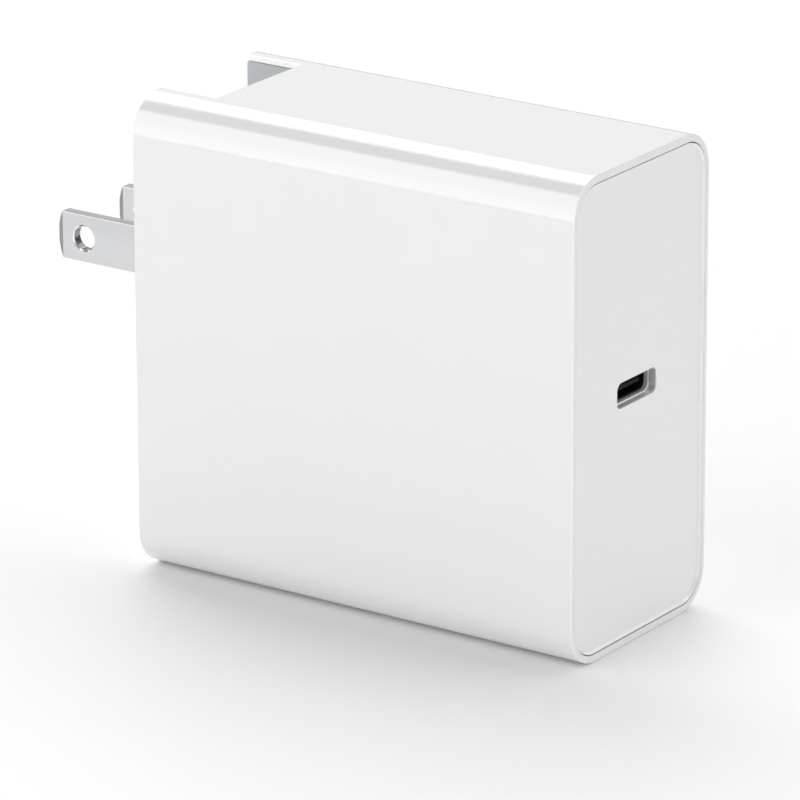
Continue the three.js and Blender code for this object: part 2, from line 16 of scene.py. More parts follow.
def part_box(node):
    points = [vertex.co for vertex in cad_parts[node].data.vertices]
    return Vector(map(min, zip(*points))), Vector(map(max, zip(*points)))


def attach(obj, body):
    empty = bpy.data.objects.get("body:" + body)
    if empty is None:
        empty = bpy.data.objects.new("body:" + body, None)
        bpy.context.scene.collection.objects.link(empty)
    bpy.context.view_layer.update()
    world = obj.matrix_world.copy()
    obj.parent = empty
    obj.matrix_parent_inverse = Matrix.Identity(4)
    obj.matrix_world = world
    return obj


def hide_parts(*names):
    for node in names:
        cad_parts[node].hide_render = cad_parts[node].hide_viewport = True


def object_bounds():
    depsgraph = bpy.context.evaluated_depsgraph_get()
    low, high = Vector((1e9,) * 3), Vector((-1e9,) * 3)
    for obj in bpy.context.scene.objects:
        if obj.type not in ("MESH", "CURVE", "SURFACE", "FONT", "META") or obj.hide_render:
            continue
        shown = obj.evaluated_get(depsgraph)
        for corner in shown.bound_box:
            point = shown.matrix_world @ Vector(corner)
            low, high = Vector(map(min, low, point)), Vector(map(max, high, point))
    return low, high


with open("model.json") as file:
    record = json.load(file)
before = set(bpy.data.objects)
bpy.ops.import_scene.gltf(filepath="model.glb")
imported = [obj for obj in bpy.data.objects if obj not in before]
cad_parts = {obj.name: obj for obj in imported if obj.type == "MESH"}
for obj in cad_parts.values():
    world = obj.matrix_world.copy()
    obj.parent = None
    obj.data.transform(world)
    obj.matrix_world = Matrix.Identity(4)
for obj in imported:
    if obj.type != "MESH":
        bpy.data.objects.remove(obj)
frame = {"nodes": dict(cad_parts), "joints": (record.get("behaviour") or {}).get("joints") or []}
cad_low, cad_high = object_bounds()

MM = 0.001
scene = bpy.context.scene

# ---------- sizes, worked out from the frame ----------

sleeve_low, sleeve_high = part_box("outer_sleeve")
port_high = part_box("port_panel")[1]
plug_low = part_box("plug_panel")[0]
shell_low, shell_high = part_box("usb_c_shell")
tongue_low, tongue_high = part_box("usb_c_tongue")
carrier_low, carrier_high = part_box("blade_carrier")
blade_low, blade_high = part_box("blade_line")
choke_low, choke_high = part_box("choke_core")

PLUG_X = sleeve_low.x
PORT_X = sleeve_high.x
THICKNESS = sleeve_high.y - sleeve_low.y
HEIGHT = sleeve_high.z - sleeve_low.z
CORNER = 5.2 * MM
CORNER_STEPS = 20
WALL = 1.8 * MM

SEAM = 0.15 * MM
GAP = 0.3 * MM
TOUCH = 0.01 * MM
RIM_SIDE = sleeve_high.y - port_high.y - SEAM
SIDE_SEAM = 0.03 * MM
RIM_TOP = sleeve_high.z - port_high.z - SEAM
PORT_FILLET = 0.18 * MM
PLUG_FILLET = 0.15 * MM
RIM_EDGE = 0.04 * MM

PANEL_THICK = 1.6 * MM
PANEL_FILLET = 0.12 * MM
PORT_RECESS = 0.5 * MM
PLUG_RECESS = plug_low.x - PLUG_X
LIP_WIDTH = 0.1 * MM
LIP_EDGE = 0.04 * MM
LIP_FOOT = 0.07 * MM
LIP_DRAFT = 0.14 * MM
SKIRT_THICK = 1.2 * MM
SKIRT_DEPTH = 3 * MM

PIVOT = Vector(frame["joints"][0]["pos_m"])
CARRIER_HALF = PIVOT.z - carrier_low.z
CARRIER_FILLET = 0.2 * MM

BAY_HALF_WIDTH = carrier_high.y + GAP
BAY_DEPTH = 8.4 * MM
BAY_WALL = 1.3 * MM
BAY_CORNER = 0.5 * MM
BAY_FLOOR = carrier_low.z - GAP
BAY_FLOOR_THICK = 2.3 * MM
BAY_SHY = 0.05 * MM
NOTCH_FILLET = 0.2 * MM
NOTCH_LIP = 0.75 * MM
LAND_HALF_WIDTH = 3.2 * MM
LAND_BOTTOM = sleeve_low.z + 46 * MM
LAND_TOP = sleeve_low.z + 54 * MM
LAND_SLOPE = 3 * MM
SPRING_HALF_WIDTH = LAND_HALF_WIDTH + 0.2 * MM
SPRING_SEAT_DEPTH = 1.2 * MM
SPRING_SEAT_BACK = PLUG_X + BAY_DEPTH - 0.6 * MM

BLADE_THICK = blade_high.y - blade_low.y
BLADE_HALF = (blade_high.z - blade_low.z) / 2
BLADE_TIP = blade_low.x
BLADE_Y = (blade_low.y + blade_high.y) / 2
BLADE_TIP_RUN = 0.9 * MM
BLADE_TIP_DROP = 0.45 * MM
BLADE_TIP_FLAT = 1 * MM
BLADE_FILLET = 0.1 * MM
BLADE_HOLE_X = BLADE_TIP + 4.2 * MM
BLADE_HOLE_RADIUS = 1.59 * MM
BLADE_COUNTERSINK = 0.16 * MM
PIN_RADIUS = 1.2 * MM
PIN_STEPS = 32
BEARING_RADIUS = PIN_RADIUS + 0.1 * MM

SOCKET_Z = (shell_low.z + shell_high.z) / 2
MOUTH_WIDTH = 8.8 * MM
MOUTH_TALL = 3.25 * MM
MOUTH_CORNER = 0.9 * MM
MOUTH_WALL = 0.15 * MM
MOUTH_DEPTH = 1.25 * MM
MOUTH_SEAM = 0.05 * MM
MOUTH_STEP = 0.02 * MM
MOUTH_SHY = 0.3 * MM
SHELL_WIDTH = 8.7 * MM
SHELL_TALL = 3.0 * MM
SHELL_CORNER = 1.1 * MM
SHELL_WALL = 0.2 * MM
THROAT_DEPTH = 0.5 * MM
OPENING_WIDTH = 8.34 * MM
OPENING_TALL = 2.56 * MM
OPENING_CORNER = 0.98 * MM
INSERT_BASE = 1.4 * MM
INSERT_FIT = 0.04 * MM
TONGUE_WIDTH = 6.7 * MM
TONGUE_THICK = 0.7 * MM
TONGUE_CORNER = 0.3 * MM
TONGUE_NOSE = 0.25 * MM
TONGUE_TAPER = 0.15 * MM
INSERT_EDGE = 0.06 * MM
APERTURE_FILLET = 0.2 * MM
CONTACTS = 12
CONTACT_PITCH = 0.5 * MM
CONTACT_WIDTH = 0.28 * MM
CONTACT_PROUD = 0.02 * MM
CONTACT_MARGIN = 0.1 * MM

CHOKE_CENTRE = ((choke_low.x + choke_high.x) / 2, (choke_low.z + choke_high.z) / 2)


# ---------- outlines ----------

def arc(centre, radius, start, end, steps):
    """Points of a circular arc in a plane, from start to end in degrees."""
    angles = [math.radians(start + (end - start) * i / steps) for i in range(steps + 1)]
    return [(centre[0] + radius * math.cos(a), centre[1] + radius * math.sin(a)) for a in angles]


def rounded_rectangle(centre, size, radius, steps=CORNER_STEPS):
    """A rectangle with round corners, anticlockwise, with the same number of points at any size."""
    across, up = size[0] / 2 - radius, size[1] / 2 - radius
    corners = [(across, up, 0), (-across, up, 90), (-across, -up, 180), (across, -up, 270)]
    points = []
    for x, y, start in corners:
        points += arc((centre[0] + x, centre[1] + y), radius, start, start + 90, steps)
    return points


def circle(centre, radius, steps=64):
    return arc(centre, radius, 0, 360, steps)[:-1]


def at_x(x, points):
    return [Vector((x, a, b)) for a, b in points]


def at_y(y, points):
    return [Vector((a, y, b)) for a, b in points]


def at_z(z, points):
    return [Vector((a, b, z)) for a, b in points]


def fillet(radius, steps=5):
    """(depth, inset) pairs round a convex edge, from the side surface to the end face."""
    return [(radius - b, radius - a) for a, b in arc((0, 0), radius, 0, 90, steps)]


# ---------- meshes ----------

def loft(rings, cyclic=False):
    """A closed mesh through rings with equal numbers of points. A cyclic loft joins its last ring
    to its first; any other loft is capped at both ends."""
    mesh = bmesh.new()
    loops = [[mesh.verts.new(point) for point in ring] for ring in rings]
    count = len(rings[0])
    pairs = list(zip(loops, loops[1:]))
    if cyclic:
        pairs.append((loops[-1], loops[0]))
    for first, second in pairs:
        for i in range(count):
            j = (i + 1) % count
            mesh.faces.new((first[i], first[j], second[j], second[i]))
    if not cyclic:
        mesh.faces.new(loops[0])
        mesh.faces.new(loops[-1])
    bmesh.ops.recalc_face_normals(mesh, faces=mesh.faces)
    return mesh


def box_mesh(low, high):
    across = [(low[0], low[1]), (high[0], low[1]), (high[0], high[1]), (low[0], high[1])]
    return loft([at_z(low[2], across), at_z(high[2], across)])


def prism_y(points, low, high):
    return loft([at_y(low, points), at_y(high, points)])


def add_mesh(mesh, other):
    """Adds a second mesh's faces to a first one's. The second is used up."""
    data = bpy.data.meshes.new("part")
    other.to_mesh(data)
    other.free()
    mesh.from_mesh(data)
    bpy.data.meshes.remove(data)


def to_object(name, mesh):
    data = bpy.data.meshes.new(name)
    mesh.to_mesh(data)
    mesh.free()
    piece = bpy.data.objects.new(name, data)
    scene.collection.objects.link(piece)
    return piece


def boolean(piece, other, operation):
    """Joins, cuts or intersects piece with another mesh, which is used up."""
    tool = to_object("tool", other)
    step = piece.modifiers.new("boolean", "BOOLEAN")
    step.solver = "EXACT"
    step.operation = operation
    step.object = tool
    graph = bpy.context.evaluated_depsgraph_get()
    result = bpy.data.meshes.new_from_object(piece.evaluated_get(graph))
    piece.modifiers.clear()
    old = piece.data
    piece.data = result
    bpy.data.meshes.remove(old)
    bpy.data.objects.remove(tool)
    return piece


def cut(piece, *tools):
    for tool in tools:
        boolean(piece, tool, "DIFFERENCE")
    return piece


def join(piece, *others):
    for other in others:
        boolean(piece, other, "UNION")
    return piece


def smooth(piece, sharp_angle=30, bevel=0.0, bevel_angle=35, segments=3):
    """Rounds the edges if asked, and shades flats flat and fillets round."""
    if bevel:
        edge = piece.modifiers.new("edges", "BEVEL")
        edge.width = bevel
        edge.segments = segments
        edge.limit_method = "ANGLE"
        edge.angle_limit = math.radians(bevel_angle)
        edge.use_clamp_overlap = True
    piece.data.polygons.foreach_set("use_smooth", [True] * len(piece.data.polygons))
    piece.data.set_sharp_from_angle(angle=math.radians(sharp_angle))
    shade = piece.modifiers.new("normals", "WEIGHTED_NORMAL")
    shade.mode = "FACE_AREA"
    shade.weight = 100
    shade.keep_sharp = True
    return piece


def paint(piece, material, chosen):
    """Gives a second material to the faces that chosen(face) picks."""
    piece.data.materials.append(material)
    index = len(piece.data.materials) - 1
    for face in piece.data.polygons:
        if chosen(face):
            face.material_index = index


def dress(piece, body, slot, *replaced):
    """Gives a new piece its body and hides the CAD nodes it stands for. The slot argument is not
    used.
    """
    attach(piece, body)
    if replaced:
        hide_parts(*replaced)
    return piece


# ---------- materials ----------

class Nodes:
    """A small helper to build one material's or the world's node tree."""

    def __init__(self, tree, keep=False):
        self.tree = tree
        if not keep:
            tree.nodes.clear()

    def add(self, kind, **settings):
        node = self.tree.nodes.new(kind)
        for key, value in settings.items():
            setattr(node, key, value)
        return node

    def link(self, source, target):
        self.tree.links.new(source, target)

    def put(self, target, value):
        """Links a socket, or sets a number or colour, on a target socket."""
        if isinstance(value, bpy.types.NodeSocket):
            self.link(value, target)
        else:
            target.default_value = value

    def math(self, operation, first, second=0.0):
        node = self.add("ShaderNodeMath", operation=operation)
        self.put(node.inputs[0], first)
        self.put(node.inputs[1], second)
        return node.outputs[0]

    def ramp(self, value, from_low, from_high, to_low, to_high, smooth_step=False):
        kind = "SMOOTHSTEP" if smooth_step else "LINEAR"
        node = self.add("ShaderNodeMapRange", interpolation_type=kind)
        inputs = [value, from_low, from_high, to_low, to_high]
        for target, given in zip(node.inputs, inputs):
            self.put(target, given)
        return node.outputs[0]

    def noise(self, size, stretch=(1, 1, 1), detail=3.0, roughness=0.5):
        """Noise whose features are about size metres across in object space."""
        place = self.add("ShaderNodeTexCoord")
        scale = self.add("ShaderNodeMapping")
        self.link(place.outputs["Object"], scale.inputs["Vector"])
        scale.inputs["Scale"].default_value = [s / size for s in stretch]
        node = self.add("ShaderNodeTexNoise")
        self.link(scale.outputs["Vector"], node.inputs["Vector"])
        node.inputs["Scale"].default_value = 1.0
        node.inputs["Detail"].default_value = detail
        node.inputs["Roughness"].default_value = roughness
        return node.outputs["Fac"]

    def mix(self, factor, first, second):
        node = self.add("ShaderNodeMix", data_type="RGBA")
        self.put(node.inputs["Factor"], factor)
        self.put(node.inputs["A"], first)
        self.put(node.inputs["B"], second)
        return node.outputs["Result"]


def shade(colour, factor):
    return [min(c * factor, 1.0) for c in colour[:3]] + [1.0]


def surface(name, colour, roughness, metallic=0.0, variation=0.03, mottle=8 * MM,
            rough_spread=0.04, grain=0.0, grain_size=0.1 * MM, stretch=(1, 1, 1),
            coat=0.0, coat_ior=1.5, specular=0.5):
    """A procedural finish: colour that varies gently over mottle metres, roughness that varies
    with it, and a fine grain of the given height."""
    material = bpy.data.materials.new(name)
    material.use_nodes = True
    n = Nodes(material.node_tree)
    shader = n.add("ShaderNodeBsdfPrincipled")
    out = n.add("ShaderNodeOutputMaterial")
    n.link(shader.outputs[0], out.inputs["Surface"])
    patches = n.noise(mottle, stretch)
    spread = n.ramp(patches, 0.3, 0.7, 0.0, 1.0)
    tone = n.mix(spread, shade(colour, 1 - variation), shade(colour, 1 + variation))
    n.link(tone, shader.inputs["Base Color"])
    rough = n.ramp(patches, 0.3, 0.7, roughness - rough_spread, roughness + rough_spread)
    n.link(rough, shader.inputs["Roughness"])
    shader.inputs["Metallic"].default_value = metallic
    shader.inputs["Specular IOR Level"].default_value = specular
    shader.inputs["Coat Weight"].default_value = coat
    shader.inputs["Coat IOR"].default_value = coat_ior
    shader.inputs["Coat Roughness"].default_value = 0.07
    if grain:
        bump = n.add("ShaderNodeBump")
        bump.inputs["Strength"].default_value = 1.0
        bump.inputs["Distance"].default_value = grain
        n.link(n.noise(grain_size, stretch, detail=2.0), bump.inputs["Height"])
        n.link(bump.outputs["Normal"], shader.inputs["Normal"])
    return material


def two_tone(material, colour, axis, low, high, both_ways=False):
    """Blends to a second colour where a face's normal along an axis goes from low to high. With
    both_ways, the axis has no sign."""
    n = Nodes(material.node_tree, keep=True)
    shader = material.node_tree.nodes["Principled BSDF"]
    place = n.add("ShaderNodeNewGeometry")
    axes = n.add("ShaderNodeSeparateXYZ")
    n.link(place.outputs["Normal"], axes.inputs[0])
    facing = axes.outputs[axis]
    if both_ways:
        facing = n.math("ABSOLUTE", facing)
    factor = n.ramp(facing, low, high, 0.0, 1.0, smooth_step=both_ways)
    own = shader.inputs["Base Color"].links[0].from_socket
    n.link(n.mix(factor, own, colour), shader.inputs["Base Color"])
    return material


def wound(material, gap_shade, pitch, depth, centre=None):
    """Lays wire or tape turns over a material, with painted shade in the gaps between them: stacked
    along Y, or round a centre in X and Z."""
    n = Nodes(material.node_tree, keep=True)
    shader = material.node_tree.nodes["Principled BSDF"]
    place = n.add("ShaderNodeTexCoord")
    axes = n.add("ShaderNodeSeparateXYZ")
    n.link(place.outputs["Object"], axes.inputs[0])
    x, y, z = axes.outputs
    along = y
    if centre:
        across = n.math("SUBTRACT", x, centre[0])
        along = n.math("ARCTAN2", n.math("SUBTRACT", z, centre[1]), across)
    wave = n.math("SINE", n.math("MULTIPLY", along, 2 * math.pi / pitch))
    turn = n.ramp(wave, -1.0, 0.4, 0.0, 1.0, smooth_step=True)
    own = shader.inputs["Base Color"].links[0].from_socket
    n.link(n.mix(turn, gap_shade, own), shader.inputs["Base Color"])
    bump = n.add("ShaderNodeBump")
    bump.inputs["Strength"].default_value = 1.0
    bump.inputs["Distance"].default_value = depth
    n.link(turn, bump.inputs["Height"])
    n.link(bump.outputs["Normal"], shader.inputs["Normal"])
    return material


WHITE = (0.78, 0.78, 0.783, 1)
# A near-white used only for painted highlights on edges.
PAINTED_HIGHLIGHT_WHITE = (0.98, 0.98, 0.98, 1)

shell_gloss = surface("shell_gloss", WHITE, 0.13, variation=0.004, mottle=20 * MM,
                      rough_spread=0.02, grain=0.0008 * MM, grain_size=1.6 * MM,
                      coat=1.0, coat_ior=1.7)
# Painted highlight: a near-white copy of the shell plastic for its edge fillets, blended back to the
# shell white where a fillet faces neither front nor back.
shell_painted_highlight = surface("shell_painted_highlight", PAINTED_HIGHLIGHT_WHITE, 0.1, variation=0.004, mottle=20 * MM,
                     rough_spread=0.01, coat=1.0, coat_ior=1.7)
two_tone(shell_painted_highlight, WHITE, "Y", 0.5, 0.15, both_ways=True)
rim_satin = surface("rim_satin", (0.83, 0.83, 0.833, 1), 0.4, variation=0.006, mottle=6 * MM,
                    grain=0.0008 * MM, grain_size=0.4 * MM)
panel_matte = surface("panel_matte", (0.86, 0.86, 0.865, 1), 0.5, variation=0.012,
                      mottle=0.35 * MM, grain=0.005 * MM, grain_size=0.12 * MM)
# Painted highlight: a near-white coated copy of the panel plastic.
panel_painted_highlight = surface("panel_painted_highlight", PAINTED_HIGHLIGHT_WHITE, 0.12, variation=0.01, mottle=2 * MM,
                     coat=1.0, coat_ior=1.7)
blade_plate = surface("blade_plate", (0.62, 0.625, 0.64, 1), 0.2, metallic=1.0, variation=0.03,
                      mottle=3 * MM, rough_spread=0.04, grain=0.0006 * MM,
                      grain_size=0.12 * MM, stretch=(0.15, 1, 1))
blade_edge = surface("blade_edge", (0.34, 0.345, 0.355, 1), 0.3, metallic=1.0, variation=0.05,
                     mottle=1.5 * MM, grain=0.0008 * MM, grain_size=0.1 * MM,
                     stretch=(0.15, 1, 1))
blade_ground = surface("blade_ground", (0.30, 0.305, 0.315, 1), 0.38, metallic=1.0,
                       variation=0.06, mottle=0.8 * MM, rough_spread=0.05, grain=0.001 * MM,
                       grain_size=0.08 * MM, stretch=(1, 0.2, 1))
# Painted highlight: a near-white copy of the plate metal for the countersink ring, with the plate's
# own roughness.
countersink_painted_highlight = surface("countersink_painted_highlight", (0.96, 0.96, 0.965, 1), 0.2, metallic=1.0,
                       variation=0.02, mottle=1 * MM)
# Painted shade: a dark, streaked copy of the plate metal inside the hole's bore.
bore_painted_shade = surface("bore_painted_shade", (0.19, 0.19, 0.20, 1), 0.12, metallic=1.0, variation=0.95,
                     mottle=0.45 * MM, rough_spread=0.04, stretch=(1, 0.1, 1))
# Painted shade: a darker cool grey that stands in for the shade inside the blade bay.
bay_painted_shade = surface("bay_painted_shade", (0.50, 0.52, 0.54, 1), 0.45, variation=0.012,
                   mottle=0.4 * MM, grain=0.005 * MM, grain_size=0.12 * MM)
socket_metal = surface("socket_metal", (0.95, 0.955, 0.96, 1), 0.42, metallic=0.6,
                       variation=0.04, mottle=1.5 * MM, grain=0.0006 * MM,
                       grain_size=0.1 * MM, stretch=(0.2, 1, 1))
socket_plastic = surface("socket_plastic", (0.005, 0.005, 0.0055, 1), 0.5, variation=0.15,
                         mottle=1 * MM, grain=0.002 * MM, grain_size=0.15 * MM, specular=0.25)
contact_gold = surface("contact_gold", (0.95, 0.68, 0.30, 1), 0.25, metallic=1.0,
                       variation=0.04, mottle=0.6 * MM, grain=0.0004 * MM,
                       grain_size=0.08 * MM)


# ---------- housing ----------

def section(x, side, top):
    """The body's section, drawn smaller all round and rounded to match, at one x."""
    size = (THICKNESS - 2 * side, HEIGHT - 2 * top)
    centre = (0, sleeve_low.z + HEIGHT / 2)
    return at_x(x, rounded_rectangle(centre, size, CORNER - (side + top) / 2))


def flared(outline, at, inner, face, outer, radius, steps=5):
    """A cutter along one axis, from inner to outer, whose walls flare out by radius at a face, so
    that the edge it leaves there is round. outline(grow) is its section, at places one."""
    way = 1 if outer > inner else -1
    rings = [at(inner, outline(0))]
    for i in range(steps + 1):
        angle = math.radians(90 * i / steps)
        level = face - way * radius * (1 - math.sin(angle))
        rings.append(at(level, outline(radius * (1 - math.cos(angle)))))
    rings.append(at(outer, outline(radius)))
    return loft(rings)


def notch_outline(grow):
    size = (2 * (BAY_DEPTH + grow), 2 * (BAY_HALF_WIDTH + grow))
    return rounded_rectangle((PLUG_X, 0), size, BAY_CORNER + grow, steps=8)


def notch_box():
    """Half the width, and the depth, of the pocket that the bay block fills in the sleeve."""
    return BAY_HALF_WIDTH + BAY_WALL, PLUG_X + BAY_DEPTH + BAY_WALL


def sleeve_end(radius, recess):
    """(depth, side, top) of the sleeve's profile at one end: the outer fillet, the flat rim, its
    small inner edge, the panel's seat and the step down to the wall."""
    seat = recess + PANEL_THICK + GAP
    profile = [(depth, inset, inset) for depth, inset in fillet(radius, 6)]
    for depth, inset in reversed(fillet(RIM_EDGE, 2)):
        profile.append((depth, RIM_SIDE - inset, RIM_TOP - inset))
    profile.append((seat, RIM_SIDE, RIM_TOP))
    profile.append((seat, WALL, WALL))
    return profile


def is_painted_highlight_edge(face):
    """The sleeve's edges that carry a painted highlight: round the socket end, and round the notch.
    """
    if face.center.x > PORT_X - PORT_FILLET:
        return 0.2 < face.normal.x < 0.98
    in_notch = face.center.x < PLUG_X + BAY_DEPTH + NOTCH_FILLET
    return in_notch and face.center.z > sleeve_high.z - NOTCH_LIP and face.normal.z < 0.97 \
        and abs(face.center.y) < BAY_HALF_WIDTH + NOTCH_FILLET


def is_rim(face):
    """The flat rims that show round the end panels."""
    return abs(face.normal.x) > 0.98 and not PLUG_X + SEAM < face.center.x < PORT_X - SEAM


def make_sleeve():
    port_end = sleeve_end(PORT_FILLET, PORT_RECESS)
    plug_end = sleeve_end(PLUG_FILLET, PLUG_RECESS)
    rings = [section(PORT_X - d, side, top) for d, side, top in port_end]
    rings += [section(PLUG_X + d, side, top) for d, side, top in reversed(plug_end)]
    sleeve = to_object("sleeve", loft(rings, cyclic=True))
    half, back = notch_box()
    inside = sleeve_high.z - WALL - MM
    pocket = box_mesh((PLUG_X - MM, -half - GAP, inside),
                      (back + GAP, half + GAP, sleeve_high.z - NOTCH_LIP))
    cut(sleeve, pocket)
    cut(sleeve, flared(notch_outline, at_z, inside - MM, sleeve_high.z, HEIGHT + MM, NOTCH_FILLET))
    sleeve.data.materials.append(shell_gloss)
    paint(sleeve, rim_satin, is_rim)
    # The socket-end and notch fillets get the painted highlight.
    paint(sleeve, shell_painted_highlight, is_painted_highlight_edge)
    smooth(sleeve)
    dress(sleeve, "housing", "shell_gloss", "outer_sleeve")


def mouth(x, grow):
    size = (MOUTH_WIDTH + 2 * grow, MOUTH_TALL + 2 * grow)
    return at_x(x, rounded_rectangle((0, SOCKET_Z), size, MOUTH_CORNER + grow))


def make_port_panel():
    """A shallow tray: its thin lip stands level with the sleeve's rim, and a slightly sloping wall
    with a small round foot leads down to its face, which is pierced for the socket."""
    lip = port_high.x
    face = PORT_X - PORT_RECESS
    back = face - PANEL_THICK
    side = RIM_SIDE + SIDE_SEAM
    top = RIM_TOP + SEAM
    grow = MOUTH_WALL + MOUTH_SEAM
    skirt_outer = WALL + SEAM
    skirt_inner = skirt_outer + SKIRT_THICK
    rings = [section(back, side, top)]
    rings += [section(lip - d, side + i, top + i) for d, i in fillet(LIP_EDGE, 2)]
    for d, i in reversed(fillet(LIP_EDGE, 2)):
        rings.append(section(lip - d, side + LIP_WIDTH - i, top + LIP_WIDTH - i))
    for d, i in reversed(fillet(LIP_FOOT, 4)):
        inset = LIP_WIDTH + LIP_DRAFT + LIP_FOOT - d
        rings.append(section(face + LIP_FOOT - i, side + inset, top + inset))
    rings += [mouth(face - d, i) for d, i in reversed(fillet(APERTURE_FILLET, 5))]
    collar = face - MOUTH_SHY + MOUTH_SEAM
    rings += [mouth(collar, 0), mouth(collar, grow), mouth(back, grow)]
    rings.append(section(back, skirt_inner, skirt_inner))
    rings.append(section(back - SKIRT_DEPTH, skirt_inner, skirt_inner))
    rings.append(section(back - SKIRT_DEPTH, skirt_outer, skirt_outer))
    rings.append(section(back, skirt_outer, skirt_outer))
    panel = to_object("port_end_panel", loft(rings, cyclic=True))
    panel.data.materials.append(panel_matte)
    # Every front face of the port panel that does not face straight out (the lip, wall, foot and
    # socket opening) gets the painted highlight.
    paint(panel, panel_painted_highlight, lambda face_: face_.center.x > back + SEAM and face_.normal.x < 0.97)
    smooth(panel)
    dress(panel, "housing", "panel_matte", "port_panel")


def make_plug_panel():
    """The plug end's panel and the bay behind it that the blades fold into. The bay's mouth is
    the notch in the top, just under the sleeve's lip."""
    face = plug_low.x
    back = face + PANEL_THICK
    side = RIM_SIDE + SEAM
    top = RIM_TOP + SEAM
    skirt_outer = WALL + SEAM
    skirt_inner = skirt_outer + SKIRT_THICK
    half, bay_back = notch_box()
    rings = [section(face + d, side + i, top + i) for d, i in reversed(fillet(PANEL_FILLET, 4))]
    rings.append(section(back, side, top))
    rings.append(section(back, skirt_outer, skirt_outer))
    rings.append(section(back + SKIRT_DEPTH, skirt_outer, skirt_outer))
    rings.append(section(back + SKIRT_DEPTH, skirt_inner, skirt_inner))
    rings.append(section(back, skirt_inner, skirt_inner))
    panel = to_object("plug_end_panel", loft(rings))
    block_top = sleeve_high.z - NOTCH_LIP - SEAM
    bay_block = box_mesh((face + BAY_SHY, -half, BAY_FLOOR - BAY_FLOOR_THICK),
                         (bay_back, half, block_top))
    bay = loft([at_z(BAY_FLOOR, notch_outline(0)), at_z(HEIGHT + MM, notch_outline(0))])
    land = prism_y([
        (back, LAND_BOTTOM),
        (PLUG_X + BAY_DEPTH + MM, LAND_BOTTOM),
        (PLUG_X + BAY_DEPTH + MM, LAND_TOP),
        (back + LAND_SLOPE, LAND_TOP),
        (back, LAND_TOP - LAND_SLOPE),
    ], -LAND_HALF_WIDTH, LAND_HALF_WIDTH)
    spring_seat = box_mesh((back, -SPRING_HALF_WIDTH, BAY_FLOOR - SPRING_SEAT_DEPTH),
                           (SPRING_SEAT_BACK, SPRING_HALF_WIDTH, BAY_FLOOR + MM))
    bearing = circle((PIVOT.x, PIVOT.z), BEARING_RADIUS, PIN_STEPS)
    join(panel, bay_block)
    cut(panel, bay)
    join(panel, land)
    cut(panel, spring_seat, prism_y(bearing, -half - MM, half + MM))
    panel.data.materials.append(panel_matte)
    # The bay's inside walls, floor and land take the grey painted shade.
    paint(panel, bay_painted_shade, lambda part: part.center.x > face + TOUCH
          and abs(part.center.y) < BAY_HALF_WIDTH + TOUCH
          and BAY_FLOOR - SEAM < part.center.z < block_top - TOUCH)
    smooth(panel, bevel=PANEL_FILLET, bevel_angle=50)
    dress(panel, "housing", "panel_matte", "plug_panel")


# ---------- folding plug ----------

def blade_outline(grow=0.0, steps=12):
    """One blade's outline in X and Z, with a rounded tip and a round root about the pivot."""
    half = BLADE_HALF + grow
    tip = BLADE_TIP - grow
    bend_height = BLADE_TIP_FLAT + 0.58 * (half - BLADE_TIP_FLAT)
    start = Vector((tip + BLADE_TIP_RUN, half))
    bend = Vector((tip + 0.3 * BLADE_TIP_RUN, bend_height))
    end = Vector((tip, BLADE_TIP_FLAT))
    upper = []
    for i in range(steps + 1):
        t = i / steps
        point = start * (1 - t) ** 2 + bend * 2 * t * (1 - t) + end * t ** 2
        upper.append((point.x, point.y))
    lower = [(x, -z) for x, z in reversed(upper)]
    root = arc((PIVOT.x, PIVOT.z), half, -90, 90, 2 * steps)
    return root + [(x, PIVOT.z + z) for x, z in upper + lower]


def tip_wedges(middle):
    """The two cutters that bevel a blade's tip, one on each face."""
    shoulder = BLADE_TIP + BLADE_TIP_RUN
    slope = BLADE_TIP_DROP / BLADE_TIP_RUN
    reach = 2 * BLADE_TIP_RUN
    for face in (-1, 1):
        level = middle + face * BLADE_THICK / 2
        wedge = [
            (shoulder + MM, level + face * slope * MM),
            (shoulder - reach, level - face * slope * reach),
            (shoulder - reach, level + face * 2 * MM),
            (shoulder + MM, level + face * 2 * MM),
        ]
        heights = (PIVOT.z - 2 * BLADE_HALF, PIVOT.z + 2 * BLADE_HALF)
        yield loft([at_z(z, wedge) for z in heights])


def make_blade(name, side, node):
    """A stamped blade: rounded long edges, a tip bevelled on both faces and a countersunk hole."""
    middle = side * abs(BLADE_Y)
    half = BLADE_THICK / 2
    rings = []
    for depth, inset in reversed(fillet(BLADE_FILLET, 4)):
        rings.append(at_y(middle - half + depth, blade_outline(-inset)))
    for depth, inset in fillet(BLADE_FILLET, 4):
        rings.append(at_y(middle + half - depth, blade_outline(-inset)))
    blade = to_object(name, loft(rings))
    cut(blade, *tip_wedges(middle))
    centre = (BLADE_HOLE_X, PIVOT.z)
    sink = BLADE_COUNTERSINK
    levels = [(-half - sink, 2 * sink), (-half + sink, 0), (half - sink, 0), (half + sink, 2 * sink)]
    cut(blade, loft([at_y(middle + y, circle(centre, BLADE_HOLE_RADIUS + grow))
                     for y, grow in levels]))
    pin_hole = circle((PIVOT.x, PIVOT.z), PIN_RADIUS + SEAM, PIN_STEPS)
    cut(blade, prism_y(pin_hole, middle - BLADE_THICK, middle + BLADE_THICK))

    def from_hole(face):
        return math.hypot(face.center.x - centre[0], face.center.z - centre[1])

    def on_countersink(face):
        return from_hole(face) < BLADE_HOLE_RADIUS + sink and 0.1 < abs(face.normal.y) < 0.9

    def in_bore(face):
        return from_hole(face) < BLADE_HOLE_RADIUS + sink / 4 and abs(face.normal.y) < 0.1

    blade.data.materials.append(blade_plate)
    shoulder = BLADE_TIP + BLADE_TIP_RUN
    paint(blade, blade_edge, lambda face: abs(face.normal.z) > 0.7)
    paint(blade, blade_ground, lambda face: face.center.x < shoulder and face.normal.x < -0.2)
    # The countersink ring gets the painted highlight.
    paint(blade, countersink_painted_highlight, on_countersink)
    # The bore gets the dark painted shade.
    paint(blade, bore_painted_shade, in_bore)
    smooth(blade, sharp_angle=24)
    dress(blade, "blade_set", "blade_plate", node)


